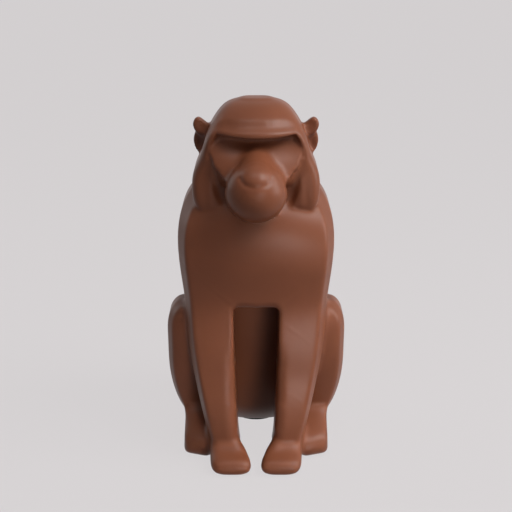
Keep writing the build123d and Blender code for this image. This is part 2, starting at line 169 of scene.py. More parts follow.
def filled(half, radius, alone=False):
    """Fillets of that radius in every inside corner, and nothing changed elsewhere."""
    return distance_again(half, radius, alone) + radius


def eased(half, radius):
    """Outside edges rounded to that radius, and nothing changed elsewhere."""
    return distance_again(half, -radius) - radius


def soft_min(a, b, reach):
    """Two fields joined, with a soft blend where both surfaces are within reach of each other."""
    near = np.clip(reach - np.abs(a - b), 0, None) / reach
    return np.minimum(a, b) - near * near * reach / 4


def soft_max(a, b, reach):
    """The space that two fields share, or with a minus sign one cut by the other, with soft edges."""
    return -soft_min(-a, -b, reach)


print("tools for fillets and rounded edges ready")

# %% The castings' fields
CASTINGS = ("trunk", "arm_left", "hind_leg_left", "head_hood", "face_mask", "ear_left", "tail")
fields = {name: node_field(name) for name in CASTINGS}
for name, field in fields.items():
    print(name, "has", int((field < 0).sum()), "voxels inside its left half")

# %% [markdown]
# ## Fades
# The next steps each change one part of the figure only: a cheek, a wrist, the edge of the brow. A share
# between 0 and 1 says how much of a change each point of space gets, and it rises or falls smoothly over a
# named span of millimetres, so that no edge shows where a change begins.

# %% Shares that rise and fall
def rising(values, span):
    """0 before the span, 1 after it, and a smooth rise between its two ends."""
    share = np.clip((values - span[0]) / (span[1] - span[0]), 0, 1)
    return share * share * (3 - 2 * share)


def falling(values, span):
    """1 before the span, 0 after it, and a smooth fall between its two ends."""
    return 1 - rising(values, span)


def hump(values, middle, width):
    """1 at the middle and 0 beyond the width, with a smooth rise and fall."""
    return rising(width - np.abs(values - middle), (0.0, width))


print("halfway up a rise the share is", rising(0.5, (0.0, 1.0)))

# %% [markdown]
# ## Cheeks and webs
# The mask is a plate in the hood's opening, and on the sculpture it comes forward towards the muzzle. From
# its edge a hollow web of clay runs out to each lobe of the hood. The castings have neither slope, so that
# they come out of their moulds, and the sculptor adds both after gluing. Here they are two more fields,
# measured from a table: for each level, how far from the middle the mask's edge lies and how far in front.

# %% The edge of the mask
RIM_LEVELS = (168.0, 184.0, 190.8, 195.4, 201.1, 207.0, 212.0, 219.0)
RIM_ACROSS = (17.0, 17.4, 18.8, 22.2, 26.6, 28.6, 28.8, 28.8)
RIM_FRONT = (-60.0, -60.0, -59.0, -57.0, -54.0, -51.0, -49.0, -47.0)

rim_across = np.interp(z_axis, RIM_LEVELS, RIM_ACROSS).astype(np.float32)[None, None, :]
rim_front = np.interp(z_axis, RIM_LEVELS, RIM_FRONT).astype(np.float32)[None, None, :]
print("the mask's edge runs from", RIM_ACROSS[0], "to", RIM_ACROSS[-1], "mm from the middle")


# %% Webs between the lobes and the muzzle
def front_of(field, across):
    """The depth, for each level, at which a line straight back meets the field. The line starts in front of
    the figure, at that distance from its middle."""
    column = field[int(across / VOXEL)]
    first = np.argmax(column < 0, axis=0)
    index = np.clip(first, 1, None), np.arange(RISE_COUNT)
    outside, inside = column[index[0] - 1, index[1]], column[index]
    return y_axis[index[0]] - VOXEL * inside / np.minimum(inside - outside, -TINY)


LOBE_MIDDLE, LOBE_EDGE, LOBE_FOOT = 31.0, 27.6, 173.0
LOBE_SLOPE = 0.19
NARROWEST_WEB = 0.8
VALLEY_TOP, VALLEY_RUN, VALLEY_DEPTH = 201.0, 22.0, 5.0
VALLEY_TOWARDS_LOBE = 0.7
VALLEY_STEEPNESS = 1.6
MUZZLE_SIDE, MUZZLE_RUN = 193.0, 8.0
WEB_TOP, WEB_BASE, WEB_BACK = 205.5, 173.5, -30.0
WEB_SCALE = 0.75
WEB_SOFTNESS = 1.0
MASK_OVERLAP, MASK_SCALE = 0.3, 0.9
MASK_CORNER, PAST_ANY_LIMIT = 189.0, 20.0

lobe_front = front_of(fields["head_hood"], LOBE_MIDDLE)
foot_front = np.interp(LOBE_FOOT, z_axis, lobe_front)
lobe_front = np.where(z_axis < LOBE_FOOT, foot_front, lobe_front)[None, None, :]
lobe_front = lobe_front - LOBE_SLOPE * (LOBE_MIDDLE - X)
web_width = LOBE_EDGE - np.minimum(rim_across, LOBE_EDGE - NARROWEST_WEB)
towards_rim = np.clip((LOBE_EDGE - X) / web_width, 0, 1)
valley = VALLEY_DEPTH * rising(VALLEY_TOP - Z, (0.0, VALLEY_RUN))
by_rim = np.sin(np.pi * towards_rim ** VALLEY_TOWARDS_LOBE)
by_muzzle = np.sin(np.pi / 2 * np.clip(towards_rim * VALLEY_STEEPNESS, 0, 1))
beside_muzzle = rising(MUZZLE_SIDE - Z, (0.0, MUZZLE_RUN))
valley = valley * (by_rim * (1 - beside_muzzle) + by_muzzle * beside_muzzle)
web_front = lobe_front + (rim_front - lobe_front) * towards_rim ** 2 * (1 - beside_muzzle) + valley
beyond_mask = (rim_across - MASK_OVERLAP - X) * MASK_SCALE - PAST_ANY_LIMIT * (Z < MASK_CORNER)
web = (web_front - Y) * WEB_SCALE
for limit in (X - LOBE_MIDDLE, beyond_mask, Z - WEB_TOP, WEB_BASE - Z, Y - WEB_BACK):
    web = soft_max(web, limit + 0 * web, WEB_SOFTNESS)
print("webs:", int((web < 0).sum()), "voxels")

# %% Cheek planes
CHEEK_SLOPE = 0.25
CHEEK_INSET = 0.8
CHEEK_SCALE = 0.85
CHEEK_LEVELS_OFF = (205.0, 219.0)
CHEEK_TOP, CHEEK_BASE, CHEEK_BACK = 218.5, 185.0, -36.0

cheek_slope = CHEEK_SLOPE * falling(Z, CHEEK_LEVELS_OFF)
cheek = (rim_front + CHEEK_INSET - cheek_slope * (rim_across - X) - Y) * CHEEK_SCALE
for limit in (X - rim_across + MASK_OVERLAP, Z - CHEEK_TOP, CHEEK_BASE - Z, Y - CHEEK_BACK):
    cheek = np.maximum(cheek, limit)
print("cheek planes:", int((cheek < 0).sum()), "voxels")

# %% [markdown]
# ## Ears
# Each ear is a leaf over a lobe, both hollow in front. The casting is a plain slab of that outline, and the
# hollows are the marks of two ball-headed tools pressed into it from the front.

# %% The ears' dishes
LEAF_DISH = ((34.0, -31.4, 221.0), 12.0)
LOBE_DISH = ((37.0, -25.6, 206.5), 10.5)
DISH_SOFTNESS = 0.8


def ball(middle, radius):
    """The field of a ball."""
    return np.sqrt((X - middle[0]) ** 2 + (Y - middle[1]) ** 2 + (Z - middle[2]) ** 2) - radius


ear = fields["ear_left"]
for dish in (LEAF_DISH, LOBE_DISH):
    ear = soft_max(ear, -ball(*dish), DISH_SOFTNESS)
print("ear:", int((ear < 0).sum()), "voxels with its two dishes")

# %% [markdown]
# ## Forelegs
# A mould for castings likes straight walls, but the sculpture's forelegs lean: they draw back where the chest
# ends and come forward to a soft cuff above the hands. The fields are shifted for that, level by level. Above
# each hand the wrist flares inwards in a wide curve, and the hand's own edges are rounded over.

# %% Lean of the forelegs
LEANS = ((1.6, 106.0, 34.0), (-1.6, 40.0, 26.0), (-0.7, 23.0, 18.0))
LEAN_DEPTHS_OFF = (-48.0, -28.0)
LAST_PLACE = DEPTH_COUNT - 1.001  # just before the last voxel, so that each place has a next one


def shifted(field, shift):
    """The field moved towards the back by a number of millimetres that may change from place to place."""
    place = np.clip((Y - shift) / VOXEL - DEPTH_FROM, 0, LAST_PLACE) + 0 * field
    low = place.astype(np.int32)
    part = (place - low).astype(np.float32)
    return (np.take_along_axis(field, low, axis=1) * (1 - part)
            + np.take_along_axis(field, low + 1, axis=1) * part)


lean = sum(distance * hump(Z, level, reach) for distance, level, reach in LEANS)
lean = lean * falling(Y, LEAN_DEPTHS_OFF)
arm = shifted(fields["arm_left"], lean)
trunk = shifted(fields["trunk"], lean)
print("forelegs lean by up to", round(float(np.abs(lean).max()), 1), "mm")

# %% Wrists and hands
FLARE_RADIUS, CUFF_RADIUS = 8.0, 2.0
FLARE_LEVELS_OFF = (36.0, 48.0)
FLARE_ACROSS_OFF = (13.0, 19.0)
FLARE_LEVELS_ON = (4.0, 10.0)
WRIST_EDGE_RADIUS = 6.0
WRIST_ACROSS_OFF = (17.0, 24.0)
WRIST_LEVELS_ON, WRIST_LEVELS_OFF = (12.0, 20.0), (60.0, 90.0)
HAND_EDGE_RADIUS = 3.0
HAND_LEVELS_OFF = (9.0, 16.0)

inner_fill = filled(arm, FLARE_RADIUS, alone=True)
front_fill = filled(arm, CUFF_RADIUS, alone=True)
inner_share = falling(X, FLARE_ACROSS_OFF) * rising(Z, FLARE_LEVELS_ON)
cuffed = front_fill + (inner_fill - front_fill) * inner_share
arm = distance_again(arm + (cuffed - arm) * falling(Z, FLARE_LEVELS_OFF))
wrist_share = falling(X, WRIST_ACROSS_OFF) * rising(Z, WRIST_LEVELS_ON) * falling(Z, WRIST_LEVELS_OFF)
arm = arm + (eased(arm, WRIST_EDGE_RADIUS) - arm) * wrist_share
arm = arm + (eased(distance_again(arm), HAND_EDGE_RADIUS) - arm) * falling(Z, HAND_LEVELS_OFF)
print("foreleg:", int((arm < 0).sum()), "voxels")

# %% [markdown]
# ## Hind legs and belly
# The haunches sink a little where they lean on the flanks. The feet's fronts are cut back along a slant, as
# seen from above, and rounded. The belly's underside rises towards the front and the sides, clear of the
# shelf.

# %% Shape the hind legs and the belly
HAUNCH_VOXELS_DOWN = 3
HAUNCH_LEVELS_ON = (62.0, 92.0)
TOE_FRONT, TOE_SLANT, FOOT_MIDDLE = -50.5, 0.4, 30.0
ABOVE_FOOT, TOE_CLEARANCE = (18.0, 30.0), 30.0
TOE_SCALE, TOE_SOFTNESS = 0.9, 4.0
FOOT_EDGE_RADIUS = 3.0
FOOT_LEVELS_OFF = (20.0, 32.0)
BELLY_BACK, BELLY_SLOPE, BELLY_BOW = 16.0, 0.8, 0.009
BELLY_SCALE, BELLY_SOFTNESS = 0.78, 5.0

leg = fields["hind_leg_left"]
leg = leg + (np.roll(leg, -HAUNCH_VOXELS_DOWN, axis=2) - leg) * rising(Z, HAUNCH_LEVELS_ON)
toe_line = TOE_FRONT + TOE_SLANT * (X - FOOT_MIDDLE) - TOE_CLEARANCE * rising(Z, ABOVE_FOOT)
leg = soft_max(leg, (toe_line - Y) * TOE_SCALE, TOE_SOFTNESS)
leg = leg + (eased(leg, FOOT_EDGE_RADIUS) - leg) * falling(Z, FOOT_LEVELS_OFF)
belly_line = ((BELLY_BACK - Y) * BELLY_SLOPE - Z + BELLY_BOW * X * X) * BELLY_SCALE
trunk = soft_max(trunk, belly_line, BELLY_SOFTNESS)
print("hind leg:", int((leg < 0).sum()), "voxels, trunk:", int((trunk < 0).sum()))

# %% [markdown]
# ## One skin over all the castings
# Neighbouring castings share faces, so a plain union leaves cracks as wide as a rounding error. Growing the
# union a little and shrinking it again closes them. The same step with a larger radius lays the fillets:
# wide ones where limbs meet the body and the nose meets the mask, fine ones round the rest of the face.

# %% Join everything
FACE_FILLET, SEAM_FILLET, BODY_FILLET = 6.0, 0.5, 3.0
FACE_TILT = 0.25
FACE_LEVELS_ON = (172.0, 184.0)
SADDLE_ACROSS_ON, SADDLE_ACROSS_OFF = (15.0, 18.0), (22.0, 26.0)
SADDLE_LEVELS_OFF = (175.0, 181.0)

face = filled(np.minimum(fields["face_mask"], cheek), FACE_FILLET)
union = np.minimum.reduce([face, ear, web, trunk, arm, leg, fields["head_hood"], fields["tail"]])
fine_skin = filled(union, SEAM_FILLET)
body_skin = filled(fine_skin, BODY_FILLET)
face_share = rising(Z - FACE_TILT * Y, FACE_LEVELS_ON)
saddle = rising(X, SADDLE_ACROSS_ON) * falling(X, SADDLE_ACROSS_OFF) * falling(Z, SADDLE_LEVELS_OFF)
face_share = face_share * (1 - saddle)
skin = body_skin * (1 - face_share) + fine_skin * face_share
print("fillets:", BODY_FILLET, "mm on the body,", FACE_FILLET, "mm by the nose,", SEAM_FILLET, "mm elsewhere")

# %% [markdown]
# ## Edges rolled over and edges kept crisp
# The arch between the forelegs has a rolled edge, and the crown is rounder than its casting. The brow is the
# opposite: its lower edge is the sharpest line of the face, so the fillet under it is cut out again.

# %% Arch, brow and crown
ARCH_RADIUS = 5.0
ARCH_ACROSS_OFF = (11.0, 16.0)
ARCH_LEVELS_ON, ARCH_LEVELS_OFF = (98.0, 104.0), (117.0, 123.0)
ARCH_DEPTHS_OFF = (-26.0, -20.0)
BROW_LEVEL, BROW_RISE, BROW_END = 218.0, 2.0, 24.0
BROW_PLAY, BROW_CUT, BROW_SOFTNESS = 0.4, 1.6, 0.4
BROW_BACK, BROW_SIDE = -49.0, 25.0
CROWN_RADIUS = 7.0
CROWN_LEVELS_ON, CROWN_ACROSS_OFF = (220.0, 230.0), (27.0, 30.0)

arch_roll = eased(fine_skin, ARCH_RADIUS)
arch_share = falling(X, ARCH_ACROSS_OFF) * rising(Z, ARCH_LEVELS_ON) * falling(Z, ARCH_LEVELS_OFF) \
    * falling(Y, ARCH_DEPTHS_OFF)
skin = skin + (arch_roll - skin) * arch_share
brow_level = BROW_LEVEL + BROW_RISE * (X / BROW_END) ** 2
under_brow = brow_level + BROW_PLAY - Z
for limit in (BROW_BACK - Y, BROW_SIDE - X, Z - brow_level + BROW_CUT):
    under_brow = np.minimum(under_brow, limit)
skin = soft_max(skin, under_brow, BROW_SOFTNESS)
crown = eased(fine_skin, CROWN_RADIUS)
crown_share = rising(Z, CROWN_LEVELS_ON) * falling(X, CROWN_ACROSS_OFF)
skin = skin * (1 - crown_share) + crown * crown_share
print("arch rolled to", ARCH_RADIUS, "mm, crown eased to", CROWN_RADIUS, "mm")

# %% [markdown]
# ## The face's fine lines
# A line runs along the mask's edge, on the inner side of the hood's lip. The end of the nose is a crescent
# pressed into the muzzle, where the nose's ball sinks into it: a groove along a ring, strongest at the
# sides.

# %% Line along the lip
LIP_GROOVE_WIDTH, LIP_GROOVE_DEPTH = 1.2, 0.8
LIP_INSET, LIP_SOFTNESS = 0.2, 0.5
LIP_LEVELS_ON, LIP_LEVELS_OFF = (186.0, 189.0), (198.0, 204.0)
LIP_DEPTHS_OFF = (-42.0, -40.0)

turn = np.gradient(rim_across[0, 0], VOXEL)
from_lip = np.abs(X - rim_across + LIP_INSET) / np.sqrt(1 + turn ** 2)
lip_share = rising(Z, LIP_LEVELS_ON) * falling(Z, LIP_LEVELS_OFF) * falling(Y, LIP_DEPTHS_OFF)
trench = soft_min(LIP_GROOVE_WIDTH / 2 - from_lip, skin + LIP_GROOVE_DEPTH, LIP_SOFTNESS)
skin = soft_max(skin, trench * lip_share - FAR * (1 - lip_share), LIP_SOFTNESS)
print("line", LIP_GROOVE_WIDTH, "mm wide and", LIP_GROOVE_DEPTH, "mm deep")

# %% Crescent of the nose
NOSE_MIDDLE = (0.0, -71.4, 198.9)
NOSE_RADIUS = 9.9
NOSE_LEAN = math.radians(40.0)
GROOVE_RADIUS, GROOVE_SOFTNESS = 1.0, 1.2
FRONT_STRENGTH, BACK_FALL = 0.5, 1.5
FRONT_REACH, BACK_REACH = (-1.0, -0.75), (-0.2, 0.15)

along = (Y - NOSE_MIDDLE[1]) * math.cos(NOSE_LEAN) + (Z - NOSE_MIDDLE[2]) * math.sin(NOSE_LEAN)
above = -(Y - NOSE_MIDDLE[1]) * math.sin(NOSE_LEAN) + (Z - NOSE_MIDDLE[2]) * math.cos(NOSE_LEAN)
from_ring = np.sqrt((np.sqrt(X * X + along * along) - NOSE_RADIUS) ** 2 + above * above)
reach = along / NOSE_RADIUS
strength = (FRONT_STRENGTH + (1 - FRONT_STRENGTH) * rising(reach, FRONT_REACH)) \
    * (1 - BACK_FALL * rising(reach, BACK_REACH))
skin = soft_max(skin, GROOVE_RADIUS * strength - from_ring, GROOVE_SOFTNESS)
print("crescent groove of", GROOVE_RADIUS, "mm")

# %% [markdown]
# ## From the field back to a mesh
# The field is averaged once with its neighbours, which takes out the last voxel steps. OpenVDB then lays
# quads where it is zero, and each point is moved along the field's slope until it lies on zero exactly. The
# same slope is the direction in which the skin faces, and later steps shade the castings with it.


# %% Smooth the field
def blurred(half):
    """Neighbours averaged along each axis, which takes the voxel steps out of the surface."""
    padded = np.concatenate((half[:1], half, half[-1:]))
    mean = (padded[:-2] + 2 * padded[1:-1] + padded[2:]) / 4
    mean[:, 1:-1] = (mean[:, :-2] + 2 * mean[:, 1:-1] + mean[:, 2:]) / 4
    mean[:, :, 1:-1] = (mean[:, :, :-2] + 2 * mean[:, :, 1:-1] + mean[:, :, 2:]) / 4
    return mean


skin = blurred(skin)
skin_both = whole(skin)
normal_field = whole(blurred(skin))
slopes = [np.gradient(normal_field, VOXEL, axis=axis).astype(np.float32) for axis in range(3)]
print("the skin's field is smooth")


# %% Make the mesh
POLISH_PASSES = 2


def sample(block, points):
    """Values of a block of both sides at points in mm, read between the voxels."""
    place = points / VOXEL - (np.array(CORNER) + (0.5, 0, 0))
    limit = np.array(block.shape) - 2
    low = np.clip(np.floor(place).astype(int), 0, limit)
    part = np.clip(place - low, 0, 1)
    total = np.zeros(len(points))
    for corner in range(8):
        step = np.array((corner & 1, corner >> 1 & 1, corner >> 2 & 1))
        weight = np.prod(np.where(step, part, 1 - part), axis=1)
        index = low + step
        total += weight * block[index[:, 0], index[:, 1], index[:, 2]]
    return total


def outward(points):
    """Unit vectors straight out of the skin."""
    vectors = np.stack([sample(slope, points) for slope in slopes], axis=1)
    return vectors / np.maximum(np.linalg.norm(vectors, axis=1, keepdims=True), TINY)


skin_points, skin_quads = quads_of(skin_both)
for _ in range(POLISH_PASSES):
    skin_points = skin_points - outward(skin_points) * sample(skin_both, skin_points)[:, None]
print("skin:", len(skin_points), "points,", len(skin_quads), "quads")

# %% [markdown]
# ## Back to separate castings
# The skin is one closed surface, but the ornament is made of castings. Each point of space belongs to the
# casting that it is nearest to, and that rule cuts the skin along the real joins. Cut faces are
# flat-shaded, and the skin on both sides of a cut takes its shading from the one field, so a join shows no
# more than it does under paint.


# %% Cut the skin into castings
def mesh_object(name, points, faces):
    """A mesh object in mm."""
    mesh = bpy.data.meshes.new(name)
    mesh.from_pydata(points.tolist(), [], faces)
    thing = bpy.data.objects.new(name, mesh)
    bpy.context.scene.collection.objects.link(thing)
    return thing


def drop(thing):
    """Takes a helper object out of the file."""
    mesh = thing.data
    bpy.data.objects.remove(thing)
    bpy.data.meshes.remove(mesh)


def evaluated(thing):
    """A plain mesh of what the object's modifiers make."""
    return bpy.data.meshes.new_from_object(thing.evaluated_get(bpy.context.evaluated_depsgraph_get()))


def combined(name, thing, cutter, operation):
    """A new object: what the boolean of the two makes."""
    step = thing.modifiers.new("cut", "BOOLEAN")
    step.operation = operation
    step.solver = "MANIFOLD"
    step.object = cutter
    made = bpy.data.objects.new(name, evaluated(thing))
    thing.modifiers.remove(step)
    bpy.context.scene.collection.objects.link(made)
    return made


print("tools for cutting ready")

# %% One casting after another
BOTH_SIDED = ("head_hood", "face_mask", "tail")
CUT_ORDER = ("ear_left", "ear_right", "face_mask", "head_hood", "arm_left", "arm_right", "hind_leg_left",
             "hind_leg_right", "tail")
CUTTER_REACH = 2.5
CUTTER_ADAPTIVITY = 0.5
OUTSIDE = np.full_like(skin, FAR)


def cutter_of(name):
    """The space that is nearer to this casting than to any other, out to a little beyond the skin."""
    left_name = name.replace("_right", "_left")
    others = np.minimum.reduce([fields[other] for other in CASTINGS if other != left_name])
    reach = np.maximum((fields[left_name] - others) / 2, skin - CUTTER_REACH)
    if name in BOTH_SIDED:
        reach = whole(reach)
    elif name.endswith("_left"):
        reach = np.concatenate((OUTSIDE, reach))
    else:
        reach = np.concatenate((reach[::-1], OUTSIDE))
    points, triangles, quads = grid_of(reach).convertToPolygons(0.0, CUTTER_ADAPTIVITY)
    return mesh_object("cutter_" + name, points, triangles.tolist() + quads.tolist())


rest = mesh_object("skin", skin_points, skin_quads.tolist())
castings = {}
for name in CUT_ORDER:
    cutter = cutter_of(name)
    castings[name] = combined("resin_" + name, rest, cutter, "INTERSECT")
    remainder = combined("skin", rest, cutter, "DIFFERENCE")
    drop(cutter)
    drop(rest)
    rest = remainder
rest.name = "resin_trunk"
castings["trunk"] = rest
for name, piece in castings.items():
    print(name, len(piece.data.vertices), "points")

# %% [markdown]
# ## Satin paint
# One coat of satin brown covers everything. Real paint isn't perfectly even: its colour drifts a little
# over a few centimetres and its sheen over a few millimetres. Noise on Object coordinates gives both, and
# it runs on across the joins, because every piece sits at the origin. The gloss is weaker than a clear
# varnish's, which leaves soft highlights on the muzzle, the chest and the hands.


# %% Tools for materials
def new_material(name, tint):
    """A material with a node tree, and the colour that a plain viewport shows."""
    material = bpy.data.materials.new(name)
    material.use_nodes = True
    material.diffuse_color = (*tint, 1.0)
    tree = material.node_tree
    return material, tree.nodes, tree.links, tree.nodes["Principled BSDF"]


def noise(tree_nodes, links, coordinates, scale, detail):
    """A noise texture on the object's own coordinates."""
    texture = tree_nodes.new("ShaderNodeTexNoise")
    texture.inputs["Scale"].default_value = scale
    texture.inputs["Detail"].default_value = detail
    links.new(coordinates.outputs["Object"], texture.inputs["Vector"])
    return texture


def ramped(tree_nodes, links, factor, stops):
    """A colour between two stops, each of which is a position and a colour."""
    ramp = tree_nodes.new("ShaderNodeValToRGB")
    for element, (position, tint) in zip(ramp.color_ramp.elements, stops):
        element.position = position
        element.color = (*tint, 1)
    links.new(factor, ramp.inputs["Fac"])
    return ramp.outputs["Color"]


def bumped(tree_nodes, links, height, strength, distance):
    """A bump from a texture."""
    bump = tree_nodes.new("ShaderNodeBump")
    bump.inputs["Strength"].default_value = strength
    bump.inputs["Distance"].default_value = distance
    links.new(height, bump.inputs["Height"])
    return bump.outputs["Normal"]


def times(tint, *factors):
    """A colour with each channel scaled, by one factor or by three."""
    return tuple(value * factor for value, factor in zip(tint, factors * (3 // len(factors))))


print("tools for materials ready")

# %% Paint
PAINT = (0.158, 0.050, 0.0235)
DRIFT_NOISE, SHEEN_NOISE, GRAIN_NOISE = (22.0, 3.0), (160.0, 2.0), (900.0, 2.0)  # scale and detail
DRIFT_DOWN, DRIFT_UP = (0.93, 0.92, 0.91), (1.06, 1.07, 1.08)
DRIFT_STOPS = (0.3, 0.7)
ROUGHNESS = (0.35, 0.41)
GLOSS = 0.2
GRAIN_BUMP = (0.05, 0.0002)  # strength and height

paint, tree_nodes, links, shader = new_material("satin_brown_paint", PAINT)
coordinates = tree_nodes.new("ShaderNodeTexCoord")
drift = noise(tree_nodes, links, coordinates, *DRIFT_NOISE)
stops = ((DRIFT_STOPS[0], times(PAINT, *DRIFT_DOWN)), (DRIFT_STOPS[1], times(PAINT, *DRIFT_UP)))
links.new(ramped(tree_nodes, links, drift.outputs["Fac"], stops), shader.inputs["Base Color"])
sheen_noise = noise(tree_nodes, links, coordinates, *SHEEN_NOISE)
spread = tree_nodes.new("ShaderNodeMapRange")
spread.inputs["To Min"].default_value, spread.inputs["To Max"].default_value = ROUGHNESS
links.new(sheen_noise.outputs["Fac"], spread.inputs["Value"])
links.new(spread.outputs["Result"], shader.inputs["Roughness"])
shader.inputs["Specular IOR Level"].default_value = GLOSS
grain = noise(tree_nodes, links, coordinates, *GRAIN_NOISE)
links.new(bumped(tree_nodes, links, grain.outputs["Fac"], *GRAIN_BUMP), shader.inputs["Normal"])
print("paint made")


# %% Shade and place the castings
SKIN_DISTANCE, SKIN_FACING = 0.3, 0.6  # mm, and the least cosine between a face and the skin


def finished(name, piece):
    mesh = piece.data
    points = values_of(mesh.vertices, "co", 3).astype(float)
    centres = values_of(mesh.polygons, "center", 3).astype(float)
    face_normals = values_of(mesh.polygons, "normal", 3)
    corners = values_of(mesh.loops, "vertex_index", kind=np.int32)
    sizes = values_of(mesh.polygons, "loop_total", kind=np.int32)
    facing = (outward(centres) * face_normals).sum(1)
    on_skin = (np.abs(sample(skin_both, centres)) < SKIN_DISTANCE) & (facing > SKIN_FACING)
    flat_normals = np.repeat(face_normals, sizes, axis=0)
    loop_normals = np.where(np.repeat(on_skin, sizes)[:, None], outward(points)[corners], flat_normals)
    mesh.vertices.foreach_set("co", (points / MM).astype(np.float32).ravel())
    mesh.update()
    mesh.shade_smooth()
    mesh.normals_split_custom_set(loop_normals.tolist())
    mesh.materials.clear()
    mesh.materials.append(paint)
    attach(piece, "root")
    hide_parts(name)
    print(name, len(mesh.polygons), "faces,", int((~on_skin).sum()), "of them on cuts")


for name, piece in castings.items():
    finished(name, piece)

# %% [markdown]
# ## Dowels
# The dowels are plain beech, out of sight once the castings are glued. Their CAD shapes are already right, so
# they are kept and only get wood: growth rings round one line, as on rods turned from the same plank.

# %% Beech for the dowels
BEECH_LIGHT = (0.56, 0.36, 0.19)
BEECH_DARK = (0.40, 0.23, 0.11)
RINGS = {"Scale": 200.0, "Distortion": 2.0, "Detail": 2.0}
WOOD_ROUGHNESS = 0.6
DOWELS = ("neck_pin", "shoulder_pins", "hip_pins", "face_pin", "ear_pins", "tail_pin")

beech, tree_nodes, links, shader = new_material("dowel_beech", BEECH_LIGHT)
coordinates = tree_nodes.new("ShaderNodeTexCoord")
rings = tree_nodes.new("ShaderNodeTexWave")
rings.wave_type = "RINGS"
rings.rings_direction = "Y"
for label, value in RINGS.items():
    rings.inputs[label].default_value = value
links.new(coordinates.outputs["Object"], rings.inputs["Vector"])
stops = ((0.0, BEECH_LIGHT), (1.0, BEECH_DARK))
links.new(ramped(tree_nodes, links, rings.outputs["Fac"], stops), shader.inputs["Base Color"])
shader.inputs["Roughness"].default_value = WOOD_ROUGHNESS
for name in DOWELS:
    dowel = nodes[name].data
    dowel.materials.clear()
    dowel.materials.append(beech)
    print(name, "in beech")

# %% [markdown]
# ## Felt pads
# Five felt discs keep the figure from scratching the shelf. They are punched from one sheet, and only a thin
# edge of each shows, with cut fibres standing out of it. The same small recipe makes all of them, so it is a
# Geometry Nodes tree: a disc, fibres on its side, and a copy of both at each point that it is given.

# %% Felt
FELT = (0.055, 0.052, 0.050)
MATTING_NOISE = (1500.0, 4.0)
MATTING_STOPS, MATTING_SHADES = (0.35, 0.65), (0.7, 1.4)
MATTING_BUMP = (0.6, 0.0003)
FELT_ROUGHNESS, FELT_SHEEN = 0.95, 0.3

felt, tree_nodes, links, shader = new_material("grey_felt", FELT)
coordinates = tree_nodes.new("ShaderNodeTexCoord")
matting = noise(tree_nodes, links, coordinates, *MATTING_NOISE)
stops = [(stop, times(FELT, shade)) for stop, shade in zip(MATTING_STOPS, MATTING_SHADES)]
links.new(ramped(tree_nodes, links, matting.outputs["Fac"], stops), shader.inputs["Base Color"])
links.new(bumped(tree_nodes, links, matting.outputs["Fac"], *MATTING_BUMP), shader.inputs["Normal"])
shader.inputs["Roughness"].default_value = FELT_ROUGHNESS
shader.inputs["Sheen Weight"].default_value = FELT_SHEEN
print("felt made")


# %% The recipe for a felt disc
DISC_INPUTS = (("Radius", 0.008), ("Thickness", 0.0016), ("Fibres per Area", 6e6), ("Fibre Length", 0.00035))
DEFAULT_SEED = 7
DISC_CORNERS = 72
FIBRE_SIDES, FIBRE_RADIUS = 3, 0.00006
FIBRE_TILT, FIBRE_TWIST = 0.5, 3.0


